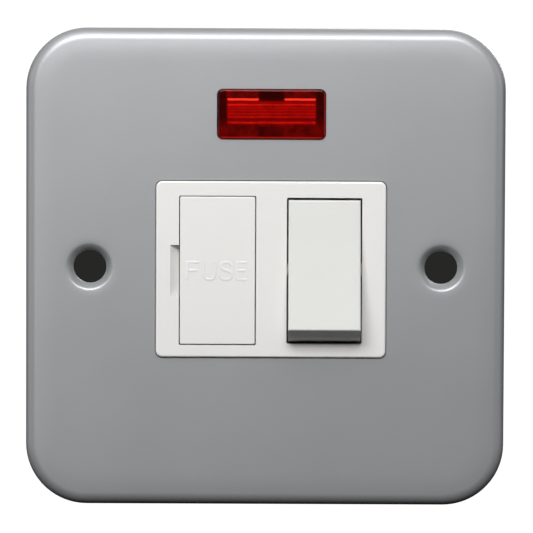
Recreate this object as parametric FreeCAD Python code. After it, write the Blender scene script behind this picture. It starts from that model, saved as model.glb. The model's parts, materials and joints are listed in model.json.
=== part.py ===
import FreeCAD, Part
import math
import os

# A switched fused connection unit with a neon, for a metal-clad box. Millimetres.
# X is to the right of the face, Y goes into the wall and Z is up. Depths are measured
# from the plate's face, and export() moves every piece so that the origin lies midway
# between the two fixing holes, in the middle of their sheet.

# Front plate: a pressed steel tray
plate_width = 82.3
plate_height = 81.9
plate_corner_radius = 10.5
plate_sheet = 1.2
plate_bend_radius = 2.8
plate_skirt_depth = 8.0
fixing_spacing = 60.3
fixing_hole_radius = 2.85
dimple_radius = 4.2
dimple_floor_radius = 3.2
dimple_depth = 1.1
dimple_rim_radius = 4.4
dimple_rim_depth = 0.3
window_gap = 0.15

# White frame that stands in the plate's window
insert_x = 0.95
insert_z = -0.35
insert_width = 39.4
insert_margin = 2.3
insert_corner_radius = 1.1
insert_proud = 0.5
insert_edge_radius = 0.35
flange_thickness = 2.0
flange_margin = 1.0
well_offset = 9.15
well_z = -0.55
well_wall = 1.2

# How far a cutter runs past the metal, and joined shapes into each other
cut_past = 1.0
join_overlap = 0.5

# Ears behind the plate, with their studs, washers and nuts
ear_reach = 5.8
ear_z = 18.0
ear_radius = 4.2
stud_radius = 1.75
stud_length = 7.6
washer_radius = 3.2
washer_thickness = 0.5
nut_width = 5.5
nut_thickness = 2.6
thread_gap = 0.02

# Fuse opening, carrier and cartridge fuse
fuse_opening_width = 13.2
fuse_opening_radius = 0.25
fuse_well_depth = 13.6
notch_width = 1.5
notch_height = 8.7
notch_depth = 1.7
notch_corner_radius = 1.1
carrier_gap = 0.16
carrier_face = 2.2
carrier_edge_radius = 0.15
carrier_length = 13.2
carrier_wall = 1.0
carrier_side_gap = 0.3
carrier_skirt_inset = 0.5
cradle_height = 11.0
cradle_wall = 1.2
cradle_gap = 0.05
cradle_mouth = 5.2
fuse_length = 25.0
fuse_end_gap = 0.3
fuse_cap_radius = 3.175
fuse_cap_length = 5.8
fuse_cap_sheet = 0.4
ceramic_radius = 2.72
clip_gap = 0.04
clip_sheet = 0.5
clip_standoff = 0.285
clip_width = 4.6
clip_arm = 3.4
clip_lip = 1.0
clip_lip_length = 1.7
clip_foot_width = 3.6

# Rocker, shown switched off with its lower edge out
rocker_opening_width = 12.9
rocker_opening_height = 25.0
rocker_opening_radius = 0.25
rocker_well_depth = 9.5
rocker_side_gap = 0.275
rocker_end_gap = 0.3
rocker_edge_angle = 20.5
rocker_rear_angle = 14.0
rocker_dish = 0.25
rocker_wall = 1.3
rocker_edge_radius = 0.32
rocker_throw = 23.0
pivot_behind_frame = 1.9
axle_radius = 1.25
axle_length = 1.25
axle_gap = 0.05
axle_end_gap = 0.6

# Two poles behind the rocker
pole_offset = 3.6
leg_radius = 2.1
leg_length = 7.0
plunger_radius = 1.2
plunger_gap = 0.05
plunger_reach = 11.0
plunger_length = 7.0
plunger_travel = 0.5
plunger_to_arm = 0.1
bore_end = -1.5
spring_wire_radius = 0.18
spring_radius = 0.8
spring_turns = 4.5
arm_sheet = 0.8
arm_width = 3.2
arm_bend = 8.0
arm_upper_length = 9.2
arm_lower_length = 5.0
arm_throw = 16.0
tab_radius = 0.6
tab_length = 1.0
tab_gap = 0.05
cheek_sheet = 0.6
cheek_gap = 0.15
cheek_height = 4.0
cheek_rim = 1.2
stop_gap = 0.05
stop_half_width = 0.4
contact_distance = 7.6
moving_contact_radius = 1.3
moving_contact_height = 0.7
fixed_contact_radius = 1.4
fixed_contact_height = 0.95
contact_pad_margin = 0.6
contact_gap = 0.05

# Conductors and terminals
strip_sheet = 0.8
strip_gap = 0.15
strip_end_inset = 1.0
rib_inset = 0.2
link_drop = 2.4
link_run_clear = 2.4
link_rise_clear = 1.0
link_bend_radius = 0.6
block_width = 6.6
block_height = 7.6
block_depth = 7.6
block_chamfer = 0.5
block_gap = 0.25
wire_bore_radius = 1.9
wire_bore_inset = 3.4
wire_entry_radius = 2.4
clamp_screw_radius = 1.7
clamp_head_radius = 2.4
clamp_head_height = 1.6
clamp_head_gap = 0.2
clamp_slot_width = 0.7
clamp_slot_depth = 0.8
strap_width = 3.0
strap_tab_width = 4.0
strap_bend_radius = 1.0
strap_clear = 1.1

# Rear moulding
well_to_cells = 1.95
base_corner_radius = 2.0
base_wall = 1.8
base_floor = 2.2
divider_wall = 1.2
cell_wall = 2.05
cell_side_wall = 1.15
cell_floor = 1.5
cell_rim = 1.0
boss_radius = 2.4
boss_inset_x = 3.8
boss_inset_z = 3.4
housing_screw_radius = 1.3
housing_screw_head_radius = 2.6
housing_screw_length = 8.5

# Neon lens, lamp, resistor and leads
lens_above_insert = 11.45
lens_hook_gap = 0.5
lens_width = 18.4
lens_height = 8.4
lens_corner_radius = 0.9
lens_proud = 0.5
lens_edge_radius = 0.3
lens_thickness = 2.9
lens_flange_margin = 1.0
lens_flange_thickness = 1.2
lens_gap = 0.15
lens_rib_pitch = 0.5
lens_rib_depth = 0.25
lens_rib_rows = 10
lens_rib_land = 0.04
lens_rib_margin = 2.0
lens_leg_width = 4.5
lens_leg_thickness = 0.9
lens_leg_reach = 2.8
lens_hook = 0.5
lens_hook_overlap = 0.2
lamp_radius = 2.6
lamp_length = 13.0
lamp_tip_radius = 1.0
lamp_stem_radius = 2.2
lamp_depth = 8.2
lamp_seat_gap = 0.05
lamp_post_width = 1.2
lamp_post_spacing = 6.0
resistor_radius = 1.15
resistor_length = 6.4
resistor_waist_radius = 0.98
resistor_bell_length = 1.6
resistor_lead_run = 2.6
lead_radius = 0.45
lead_bend_radius = 1.2
lead_spread = 1.2
lead_floor_gap = 1.0
lead_well_gap = 2.6
lead_neutral_run = 3.0
lead_live_run = 6.0
lead_live_rise = 2.4

# Places that follow from the sizes
face_to_origin = dimple_depth + plate_sheet / 2
fuse_opening_height = fuse_length + 2 * fuse_end_gap
insert_height = fuse_opening_height + 2 * insert_margin
lens_z = insert_z + insert_height / 2 + lens_above_insert
base_top = lens_z + lens_height / 2 + lens_hook + lens_hook_gap + base_wall
frame_front = -insert_proud
flange_front = plate_sheet
flange_rear = flange_front + flange_thickness
terminal_pitch = block_width + 2 * block_gap + cell_wall
base_width = 4 * terminal_pitch + block_width + 2 * block_gap + 2 * cell_side_wall
ear_offset = base_width / 2 + ear_reach
fuse_x = insert_x - well_offset
rocker_x = insert_x + well_offset
pivot_depth = frame_front + pivot_behind_frame
rocker_radius = rocker_opening_height / 2 - rocker_end_gap
rocker_width = rocker_opening_width - 2 * rocker_side_gap
arm_depth = pivot_depth + plunger_reach + plunger_to_arm + arm_sheet / 2
fixed_contact_front = arm_depth + arm_sheet / 2 + moving_contact_height + contact_gap
strip_front = fixed_contact_front + fixed_contact_height
strip_rear = strip_front + strip_sheet
fuse_depth = strip_front - clip_standoff - clip_sheet - clip_gap - fuse_cap_radius
floor_depth = strip_rear + link_drop
link_front = floor_depth - strip_sheet
base_rear = floor_depth + base_floor
block_front = strip_rear
block_rear = block_front + block_depth
cell_rear = block_rear + cell_rim
cell_reach = block_height / 2 + block_gap
cavity_bottom = well_z - fuse_opening_height / 2 - well_wall - well_to_cells
lower_cell_z = cavity_bottom - divider_wall - cell_reach
base_bottom = lower_cell_z - cell_reach - base_wall
upper_cell_z = base_top - base_wall - cell_reach
cavity_top = base_top - base_wall
earth_x = insert_x - 2 * terminal_pitch
live_load_x = fuse_x
neutral_supply_x = insert_x
neutral_load_x = insert_x + terminal_pitch
live_supply_x = insert_x + 2 * terminal_pitch
pole_places = {"neutral": rocker_x - pole_offset, "live": rocker_x + pole_offset}
contact_z = well_z + contact_distance
clip_places = {
    "upper": well_z + (fuse_length - fuse_cap_length) / 2,
    "lower": well_z - (fuse_length - fuse_cap_length) / 2,
}
ear_places = [(insert_x - ear_offset, ear_z), (insert_x + ear_offset, -ear_z)]
boss_places = [
    (insert_x + side * (base_width / 2 - boss_inset_x), z)
    for side in (-1, 1)
    for z in (base_bottom + boss_inset_z, base_top - boss_inset_z)
]


def vector(x, y, z):
    return FreeCAD.Vector(x, y, z)


def span(centre, size):
    return (centre - size / 2, centre + size / 2)


def box(x, y, z):
    corner = vector(x[0], y[0], z[0])
    return Part.makeBox(x[1] - x[0], y[1] - y[0], z[1] - z[0], corner)


def rod(start, end, radius):
    line = end - start
    return Part.makeCylinder(radius, line.Length, start, line)


def cone(start, end, start_radius, end_radius):
    line = end - start
    return Part.makeCone(start_radius, end_radius, line.Length, start, line)


def slab(x, z, width, height, radius, y):
    # A rounded rectangle that runs from one depth to another.
    left, right = span(x, width)
    low, high = span(z, height)
    bend = radius * (1 - math.sqrt(0.5))
    corners = [
        ((left, low + radius), (left + bend, low + bend), (left + radius, low)),
        ((right - radius, low), (right - bend, low + bend), (right, low + radius)),
        ((right, high - radius), (right - bend, high - bend), (right - radius, high)),
        ((left + radius, high), (left + bend, high - bend), (left, high - radius)),
    ]
    edges = []
    for index, corner in enumerate(corners):
        first, middle, last = [vector(px, y[0], pz) for px, pz in corner]
        edges.append(Part.Arc(first, middle, last).toShape())
        next_x, next_z = corners[(index + 1) % 4][0]
        edges.append(Part.makeLine(last, vector(next_x, y[0], next_z)))
    face = Part.Face(Part.Wire(edges))
    return face.extrude(vector(0, y[1] - y[0], 0))


def prism(points, along):
    # A flat outline pushed along a vector.
    return Part.Face(Part.makePolygon(points + points[:1])).extrude(along)


def flat_strip(outline, front):
    # Sheet metal cut to an outline of (x, z) points, lying across the depth.
    points = [vector(x, front, z) for x, z in outline]
    return prism(points, vector(0, strip_sheet, 0))


def rounded_path(points, bend_radius):
    # Straight runs joined by tangent arcs of one radius.
    edges = []
    start = points[0]
    for before, corner, after in zip(points, points[1:], points[2:]):
        inward = (corner - before).normalize()
        outward = (after - corner).normalize()
        half_turn = inward.getAngle(outward) / 2
        reach = bend_radius * math.tan(half_turn)
        arc_start = corner - inward * reach
        arc_end = corner + outward * reach
        towards_centre = (outward - inward).normalize()
        bulge = bend_radius / math.cos(half_turn) - bend_radius
        edges.append(Part.makeLine(start, arc_start))
        middle = corner + towards_centre * bulge
        edges.append(Part.Arc(arc_start, middle, arc_end).toShape())
        start = arc_end
    edges.append(Part.makeLine(start, points[-1]))
    return Part.Wire(edges)


def bent_strip(points, bend_radius, sheet, width, width_axis):
    # Sheet metal bent along a path through the middle of its thickness.
    path = rounded_path(points, bend_radius)
    forward = (points[1] - points[0]).normalize()
    across = width_axis * (width / 2)
    thick = forward.cross(width_axis).normalize() * (sheet / 2)
    start = points[0]
    corners = [start + across + thick, start - across + thick]
    corners += [start - across - thick, start + across - thick]
    profile = Part.makePolygon(corners + corners[:1])
    return path.makePipeShell([profile], True, False)


def lead(points):
    # A sleeved wire, drawn with flats because nothing shows it.
    path = rounded_path(points, lead_bend_radius)
    section = flatted_section(points[0], points[1] - points[0], lead_radius, 8)
    return path.makePipeShell([section], True, False)


def flatted_section(centre, along, radius, sides):
    circle = Part.Circle(centre, along, radius)
    points = [circle.value(2 * math.pi * step / sides) for step in range(sides)]
    return Part.makePolygon(points + points[:1])


def fuse_all(first, others):
    return first.multiFuse(others).removeSplitter()


def turned(shape, depth, z, angle):
    # Turns a piece about an axis along X.
    copy = shape.copy()
    copy.rotate(vector(0, depth, z), vector(1, 0, 0), angle)
    return copy


def flat_edges(shape, depth):
    # The edges that lie wholly at one depth.
    found = []
    for edge in shape.Edges:
        bounds = edge.BoundBox
        if abs(bounds.YMin - depth) < 1e-4 and abs(bounds.YMax - depth) < 1e-4:
            found.append(edge)
    return found


def export(name, shape):
    shape.translate(vector(0, -face_to_origin, 0))
    shape.exportStep(os.path.join("parts", name + ".step"))


def front_plate():
    tray = slab(0, 0, plate_width, plate_height, plate_corner_radius, (0, plate_skirt_depth))
    tray = tray.makeFillet(plate_bend_radius, flat_edges(tray, 0))
    hollow = slab(
        0, 0, plate_width - 2 * plate_sheet, plate_height - 2 * plate_sheet,
        plate_corner_radius - plate_sheet, (plate_sheet, plate_skirt_depth + plate_sheet))
    inner_bend = plate_bend_radius - plate_sheet
    hollow = hollow.makeFillet(inner_bend, flat_edges(hollow, plate_sheet))
    plate = tray.cut(hollow)
    for side in (-1, 1):
        plate = pressed_dimple(plate, side * fixing_spacing / 2)
    grow = 2 * window_gap
    window = slab(
        insert_x, insert_z, insert_width + grow, insert_height + grow,
        insert_corner_radius + window_gap, (-plate_sheet, 2 * plate_sheet))
    lens_window = slab(
        insert_x, lens_z, lens_width + grow, lens_height + grow,
        lens_corner_radius + window_gap, (-plate_sheet, 2 * plate_sheet))
    return plate.cut(window).cut(lens_window)


def pressed_dimple(plate, x):
    # The sheet is pressed back into a shallow cone, and the hole is pierced in its floor.
    back = vector(x, plate_sheet, 0)
    back_floor = vector(x, dimple_depth + plate_sheet, 0)
    spread = plate_sheet / 2
    metal = cone(back, back_floor, dimple_radius + spread, dimple_floor_radius + spread)
    hollow = spun(x, [
        (dimple_rim_radius, 0), (dimple_radius - dimple_rim_depth, dimple_rim_depth),
        (dimple_floor_radius, dimple_depth), (fixing_hole_radius, dimple_depth),
        (fixing_hole_radius, dimple_depth + 2 * plate_sheet),
    ])
    return plate.fuse(metal).cut(hollow)


def spun(x, profile):
    # A solid turned about an axis along Y from its (radius, depth) profile.
    points = [vector(x, profile[0][1], 0)]
    points += [vector(x + radius, depth, 0) for radius, depth in profile]
    points.append(vector(x, profile[-1][1], 0))
    face = Part.Face(Part.makePolygon(points + points[:1]))
    return face.revolve(vector(x, 0, 0), vector(0, 1, 0), 360)


def switch_housing():
    frame = slab(
        insert_x, insert_z, insert_width, insert_height, insert_corner_radius,
        (frame_front, flange_front + flange_thickness / 2))
    frame = frame.makeFillet(insert_edge_radius, flat_edges(frame, frame_front))
    base_middle = (base_bottom + base_top) / 2
    base_height = base_top - base_bottom
    flange = slab(
        insert_x, base_middle, base_width + 2 * flange_margin, base_height + 2 * flange_margin,
        base_corner_radius + flange_margin, (flange_front, flange_rear))
    wells = [
        slab(
            fuse_x, well_z, fuse_opening_width + 2 * well_wall,
            fuse_opening_height + 2 * well_wall, well_wall, (flange_front, fuse_well_depth)),
        slab(
            rocker_x, well_z, rocker_opening_width + 2 * well_wall,
            rocker_opening_height + 2 * well_wall, well_wall, (flange_front, rocker_well_depth)),
    ]
    body = fuse_all(frame, [flange] + wells + ears())
    cutters = [
        slab(
            fuse_x, well_z, fuse_opening_width, fuse_opening_height,
            fuse_opening_radius, (frame_front - cut_past, fuse_well_depth + cut_past)),
        slab(
            rocker_x, well_z, rocker_opening_width, rocker_opening_height,
            rocker_opening_radius, (frame_front - cut_past, rocker_well_depth + cut_past)),
        pry_notch(),
    ]
    cutters += axle_saddles() + lens_seat() + housing_screw_holes() + ear_holes()
    return body.cut(cutters)


def ears():
    # Two lugs beside the flange that the plate's studs pass through.
    lugs = []
    for x, z in ear_places:
        side = 1 if x > insert_x else -1
        root = insert_x + side * base_width / 2
        lugs.append(box(
            (min(root, x), max(root, x)), (flange_front, flange_rear), span(z, 2 * ear_radius)))
        lugs.append(rod(vector(x, flange_front, z), vector(x, flange_rear, z), ear_radius))
    return lugs


def ear_holes():
    return [
        rod(vector(x, 0, z), vector(x, flange_rear + cut_past, z), stud_radius + window_gap)
        for x, z in ear_places
    ]


def pry_notch():
    # A thumb-nail scoop that gets deeper towards the carrier.
    edge_x = fuse_x - fuse_opening_width / 2
    outer_x = edge_x - notch_width
    outline = slab(
        edge_x, well_z, 2 * notch_width, notch_height, notch_corner_radius,
        (frame_front - cut_past, frame_front + notch_depth))
    low, high = span(well_z, notch_height)
    wedge = prism(
        [
            vector(outer_x, frame_front, low),
            vector(edge_x, frame_front + notch_depth, low),
            vector(edge_x + notch_width, frame_front + notch_depth, low),
            vector(edge_x + notch_width, frame_front - cut_past, low),
            vector(outer_x, frame_front - cut_past, low),
        ],
        vector(0, 0, high - low))
    return outline.common(wedge)


def axle_saddles():
    # Slots open to the rear, where the springs hold the rocker's axles forward.
    radius = axle_radius + axle_gap
    reach = rocker_width / 2 + axle_length + axle_end_gap
    inner = rocker_opening_width / 2 - join_overlap
    saddles = []
    for side in (-1, 1):
        start = vector(rocker_x + side * inner, pivot_depth, well_z)
        end = vector(rocker_x + side * reach, pivot_depth, well_z)
        saddles.append(rod(start, end, radius))
        saddles.append(box(
            (min(start.x, end.x), max(start.x, end.x)),
            (pivot_depth, rocker_well_depth + cut_past), span(well_z, 2 * radius)))
    return saddles


def lens_seat():
    grow = 2 * lens_flange_margin + 2 * lens_gap
    recess = slab(
        insert_x, lens_z, lens_width + grow, lens_height + grow, lens_corner_radius,
        (flange_front - cut_past, flange_front + lens_flange_thickness))
    through = slab(
        insert_x, lens_z, lens_width, lens_height + 2 * lens_gap, lens_corner_radius,
        (flange_front, flange_rear + cut_past))
    return [recess, through]


def housing_screw_holes():
    holes = []
    for x, z in boss_places:
        head, neck, tip = screw_stations(x, z)
        sink_radius = housing_screw_head_radius + window_gap
        shank_radius = housing_screw_radius + window_gap
        holes.append(cone(head, neck, sink_radius, shank_radius))
        holes.append(rod(head, tip, shank_radius))
    return holes


def screw_stations(x, z):
    head = vector(x, flange_front, z)
    neck = vector(x, flange_front + housing_screw_head_radius - housing_screw_radius, z)
    tip = vector(x, flange_front + housing_screw_length, z)
    return head, neck, tip


def housing_screws():
    screws = []
    for x, z in boss_places:
        head, neck, tip = screw_stations(x, z)
        screw = cone(head, neck, housing_screw_head_radius, housing_screw_radius)
        screws.append(screw.fuse(rod(neck, tip, housing_screw_radius)))
    return Part.makeCompound(screws)


def terminal_base():
    middle_z = (base_bottom + base_top) / 2
    body = slab(
        insert_x, middle_z, base_width, base_top - base_bottom, base_corner_radius,
        (flange_rear, base_rear))
    left, right = span(insert_x, base_width)
    lower_row = slab(
        insert_x, (base_bottom + cavity_bottom) / 2, base_width, cavity_bottom - base_bottom,
        base_corner_radius, (flange_rear, cell_rear))
    corner_right = earth_x + block_width / 2 + block_gap + divider_wall
    corner_bottom = upper_cell_z - cell_reach - divider_wall
    upper_corner = slab(
        (left + corner_right) / 2, (corner_bottom + base_top) / 2, corner_right - left,
        base_top - corner_bottom, base_corner_radius, (flange_rear, cell_rear))
    body = fuse_all(body, [lower_row, upper_corner])
    inner_left = left + base_wall
    inner_right = right - base_wall
    main_cavity = box(
        (inner_left, inner_right), (flange_rear - cut_past, floor_depth), (cavity_bottom, corner_bottom))
    upper_cavity = box(
        (corner_right, inner_right), (flange_rear - cut_past, floor_depth), (corner_bottom, cavity_top))
    front_depth = strip_front - cell_floor
    lower_front = box(
        (inner_left, inner_right), (flange_rear - cut_past, front_depth),
        (base_bottom + base_wall, cavity_bottom))
    upper_front = box(
        (inner_left, corner_right), (flange_rear - cut_past, front_depth), (corner_bottom, cavity_top))
    body = body.cut([main_cavity, upper_cavity, lower_front, upper_front])
    body = fuse_all(body, base_ribs() + base_bosses() + lamp_posts())
    cutters = terminal_cells() + strip_slots() + boss_pilot_holes()
    return body.cut(cutters)


def base_ribs():
    # Ledges under the strips, standing on the floor of the rear moulding.
    depth = (strip_rear, floor_depth + base_floor / 2)
    narrow = strap_width - 2 * rib_inset
    clip_half = clip_width / 2
    rib_places = [
        (neutral_supply_x, narrow, cavity_bottom, contact_z),
        (live_supply_x, narrow, cavity_bottom, contact_z),
        (pole_places["neutral"], narrow, cavity_bottom, well_z),
        (fuse_x, clip_foot_width, cavity_bottom, clip_places["lower"] + clip_half),
        (fuse_x, clip_foot_width, clip_places["upper"] - clip_half, clip_places["upper"] + clip_half),
        (earth_x, narrow, cavity_bottom, upper_cell_z - cell_reach),
    ]
    return [box(span(x, width), depth, (low, high)) for x, width, low, high in rib_places]


def base_bosses():
    bosses = []
    for x, z in boss_places:
        in_cavity = x > insert_x and z > 0
        foot = floor_depth if in_cavity else strip_front - cell_floor
        bosses.append(rod(vector(x, flange_rear, z), vector(x, foot + join_overlap, z), boss_radius))
    return bosses


def boss_pilot_holes():
    return [
        rod(vector(x, flange_rear - cut_past, z), screw_stations(x, z)[2] + vector(0, cut_past, 0),
            housing_screw_radius)
        for x, z in boss_places
    ]


def lamp_posts():
    # Two posts with round notches that the lamp lies in.
    notch = rod(
        vector(insert_x - lamp_length, lamp_depth, lens_z),
        vector(insert_x + lamp_length, lamp_depth, lens_z), lamp_radius + lamp_seat_gap)
    posts = []
    for side in (-1, 1):
        x = insert_x + side * lamp_post_spacing / 2
        post = box(
            span(x, lamp_post_width), (lamp_depth, floor_depth + join_overlap),
            span(lens_z, 2 * lamp_radius + 2 * lamp_post_width))
        posts.append(post.cut(notch))
    return posts


def terminal_cells():
    # Cells open to the rear, each with a hole for its wire in the outer wall.
    cells = []
    wire_depth = block_front + wire_bore_inset
    for x, z, side in terminal_places().values():
        cells.append(box(
            span(x, block_width + 2 * block_gap), (strip_front, cell_rear + cut_past),
            span(z, 2 * cell_reach)))
        outside = z + side * (cell_reach + base_wall + cut_past)
        cells.append(rod(vector(x, wire_depth, z), vector(x, wire_depth, outside), wire_entry_radius))
    return cells


def strip_slots():
    # Slots in the dividers that the strips pass through, and one for the strap's tab.
    depth = (strip_front, strip_rear + strip_gap)
    divider = (cavity_bottom - divider_wall - strip_gap, cavity_bottom + strip_gap)
    upper_edge = upper_cell_z - cell_reach
    upper_divider = (upper_edge - divider_wall - strip_gap, upper_edge + strip_gap)
    slots = []
    for x in (neutral_supply_x, live_supply_x, live_load_x, neutral_load_x, earth_x):
        slots.append(box(span(x, strip_width_at(x) + 2 * strip_gap), depth, divider))
    slots.append(box(span(earth_x, strap_width + 2 * strip_gap), depth, upper_divider))
    left = insert_x - base_width / 2
    tab_depth = (strip_front - strip_gap, strip_rear + strip_gap)
    slots.append(box(
        (left - cut_past, left + base_wall + cut_past), tab_depth,
        span(ear_z, strap_tab_width + 2 * strip_gap)))
    return slots


def strip_width_at(x):
    wide = (live_load_x, neutral_load_x)
    return clip_width if x in wide else strap_width


def terminal_places():
    # Each terminal's x, z and the side that its wire comes from.
    places = {
        "live_supply_terminal": (live_supply_x, lower_cell_z, -1),
        "neutral_supply_terminal": (neutral_supply_x, lower_cell_z, -1),
        "live_load_terminal": (live_load_x, lower_cell_z, -1),
        "neutral_load_terminal": (neutral_load_x, lower_cell_z, -1),
        "earth_terminal_lower": (earth_x, lower_cell_z, -1),
        "earth_terminal_upper": (earth_x, upper_cell_z, 1),
    }
    return places


def terminal_block(x, z):
    block = box(span(x, block_width), (block_front, block_rear), span(z, block_height))
    long_edges = [edge for edge in block.Edges if edge.BoundBox.ZLength > block_height / 2]
    block = block.makeChamfer(block_chamfer, long_edges)
    wire_depth = block_front + wire_bore_inset
    wire_bore = rod(
        vector(x, wire_depth, z - block_height), vector(x, wire_depth, z + block_height),
        wire_bore_radius)
    screw_hole = rod(
        vector(x, wire_depth, z), vector(x, block_rear + cut_past, z),
        clamp_screw_radius + thread_gap)
    return block.cut([wire_bore, screw_hole])


def terminal_screws():
    # Slotted clamp screws, backed out so that the wire bores are clear.
    screws = []
    tip_depth = block_front + wire_bore_inset + wire_bore_radius
    head_depth = block_rear + clamp_head_gap
    for x, z, side in terminal_places().values():
        shank = rod(vector(x, tip_depth, z), vector(x, head_depth, z), clamp_screw_radius)
        head_end = head_depth + clamp_head_height
        head = rod(vector(x, head_depth, z), vector(x, head_end, z), clamp_head_radius)
        slot = box(
            span(x, 3 * clamp_head_radius), (head_end - clamp_slot_depth, head_end + cut_past),
            span(z, clamp_slot_width))
        screws.append(shank.fuse(head).cut(slot))
    return Part.makeCompound(screws)


def fixings():
    # The studs are welded to the back of the plate. The first also clamps the earth strap.
    studs = []
    washers = []
    nuts = []
    for index, (x, z) in enumerate(ear_places):
        strap = strip_sheet if index == 0 else 0
        seat = flange_rear + strap
        studs.append(rod(
            vector(x, plate_sheet, z), vector(x, plate_sheet + stud_length, z), stud_radius))
        washer = rod(vector(x, seat, z), vector(x, seat + washer_thickness, z), washer_radius)
        bore = rod(
            vector(x, seat - cut_past, z), vector(x, seat + 2 * nut_thickness, z),
            stud_radius + thread_gap)
        washers.append(washer.cut(bore))
        nut = hexagon(x, z, seat + washer_thickness)
        nuts.append(nut.cut(bore))
    return studs, washers, nuts


def hexagon(x, z, front):
    corner_radius = nut_width / math.sqrt(3)
    points = []
    for step in range(6):
        angle = math.radians(60 * step)
        points.append(vector(
            x + corner_radius * math.cos(angle), front, z + corner_radius * math.sin(angle)))
    return prism(points, vector(0, nut_thickness, 0))


def fuse_carrier():
    # A drawer: its face, two long skirts, and a cradle that snaps round the ceramic.
    face_depth = frame_front + carrier_face
    rear = frame_front + carrier_length
    face = slab(
        fuse_x, well_z, fuse_opening_width - 2 * carrier_gap,
        fuse_opening_height - 2 * carrier_gap, fuse_opening_radius, (frame_front, face_depth))
    face = face.makeFillet(carrier_edge_radius, flat_edges(face, frame_front))
    outer = fuse_opening_width / 2 - carrier_side_gap
    skirt_height = fuse_opening_height - 2 * (carrier_side_gap + carrier_skirt_inset)
    pieces = []
    for side in (-1, 1):
        edges = sorted((fuse_x + side * outer, fuse_x + side * (outer - carrier_wall)))
        pieces.append(box(edges, (face_depth - join_overlap, rear), span(well_z, skirt_height)))
    trough_radius = ceramic_radius + cradle_gap
    cradle_width = 2 * (trough_radius + cradle_wall)
    cradle = box(
        span(fuse_x, cradle_width), (face_depth - join_overlap, rear - join_overlap),
        span(well_z, cradle_height))
    low, high = span(well_z, cradle_height + 2 * cut_past)
    trough = rod(
        vector(fuse_x, fuse_depth, low), vector(fuse_x, fuse_depth, high), trough_radius)
    mouth = box(span(fuse_x, cradle_mouth), (fuse_depth, rear + cut_past), (low, high))
    pieces.append(cradle.cut(trough).cut(mouth))
    return fuse_all(face, pieces)


def cartridge_fuse():
    # The ceramic tube, and the two caps pressed over its ends.
    end = fuse_length / 2
    inner_end = end - fuse_cap_sheet
    body = rod(
        vector(fuse_x, fuse_depth, well_z - inner_end), vector(fuse_x, fuse_depth, well_z + inner_end),
        ceramic_radius)
    caps = {}
    for name, side in (("upper", 1), ("lower", -1)):
        tip = vector(fuse_x, fuse_depth, well_z + side * end)
        rim = vector(fuse_x, fuse_depth, well_z + side * (end - fuse_cap_length))
        caps[name] = rod(rim, tip, fuse_cap_radius).cut(body)
    return body, caps


def fuse_clip(z):
    # A spring clip of one bent strip, open to the front, with its foot on the strip behind.
    inner = fuse_cap_radius + clip_gap
    outer = inner + clip_sheet
    low, high = span(z, clip_width)
    along = vector(0, 0, clip_width)
    mouth = fuse_depth - clip_arm
    solid = rod(vector(fuse_x, fuse_depth, low), vector(fuse_x, fuse_depth, high), outer)
    solid = solid.fuse(box(span(fuse_x, 2 * outer), (mouth, fuse_depth), (low, high)))
    past_low, past_high = low - cut_past, high + cut_past
    hollow = rod(vector(fuse_x, fuse_depth, past_low), vector(fuse_x, fuse_depth, past_high), inner)
    opening = box(
        span(fuse_x, 2 * inner), (mouth - cut_past, fuse_depth), (past_low, past_high))
    foot = box(
        span(fuse_x, clip_foot_width), (fuse_depth + inner + clip_sheet / 2, strip_front), (low, high))
    pieces = [foot]
    for side in (-1, 1):
        flare = mouth - clip_lip_length
        pieces.append(prism(
            [
                vector(fuse_x + side * inner, mouth, low),
                vector(fuse_x + side * outer, mouth, low),
                vector(fuse_x + side * (outer + clip_lip), flare, low),
                vector(fuse_x + side * (inner + clip_lip), flare, low),
            ],
            along))
    return fuse_all(solid.cut(hollow).cut(opening), pieces)


def rocker():
    # Drawn level, with its face towards the front, then turned to its off position.
    edge = math.radians(rocker_edge_angle)
    rear = math.radians(-rocker_rear_angle)
    side_x = rocker_x - rocker_width / 2

    def at(angle, side):
        return vector(
            side_x, pivot_depth - rocker_radius * math.sin(angle),
            well_z + side * rocker_radius * math.cos(angle))

    face_middle = vector(side_x, pivot_depth - rocker_radius * math.sin(edge) + rocker_dish, well_z)
    middle = (edge + rear) / 2
    outline = Part.Wire([
        Part.Arc(at(edge, 1), face_middle, at(edge, -1)).toShape(),
        Part.Arc(at(edge, -1), at(middle, -1), at(rear, -1)).toShape(),
        Part.makeLine(at(rear, -1), at(rear, 1)),
        Part.Arc(at(rear, 1), at(middle, 1), at(edge, 1)).toShape(),
    ])
    body = Part.Face(outline).extrude(vector(rocker_width, 0, 0))
    face_depth = pivot_depth - rocker_radius * math.sin(edge) + rocker_dish
    rim = [item for item in body.Edges if item.BoundBox.YMax < face_depth + 0.01]
    body = body.makeFillet(rocker_edge_radius, rim)
    hollow_width = rocker_width - 2 * rocker_wall
    hollow = rod(
        vector(rocker_x - hollow_width / 2, pivot_depth, well_z),
        vector(rocker_x + hollow_width / 2, pivot_depth, well_z), rocker_radius - rocker_wall)
    reach = 2 * rocker_radius
    keep = box(
        span(rocker_x, reach), (face_depth + rocker_wall, pivot_depth + reach), span(well_z, reach))
    body = body.cut(hollow.common(keep))
    body = fuse_all(body, rocker_legs(face_depth) + rocker_axles())
    bores = []
    for x in pole_places.values():
        bores.append(rod(
            vector(x, pivot_depth + bore_end, well_z), vector(x, pivot_depth + leg_length + cut_past, well_z),
            plunger_radius + plunger_gap))
    return turned(body.cut(bores), pivot_depth, well_z, -rocker_throw / 2)


def rocker_legs(face_depth):
    legs = []
    for x in pole_places.values():
        start = vector(x, face_depth + rocker_wall / 2, well_z)
        legs.append(rod(start, vector(x, pivot_depth + leg_length, well_z), leg_radius))
    return legs


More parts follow.
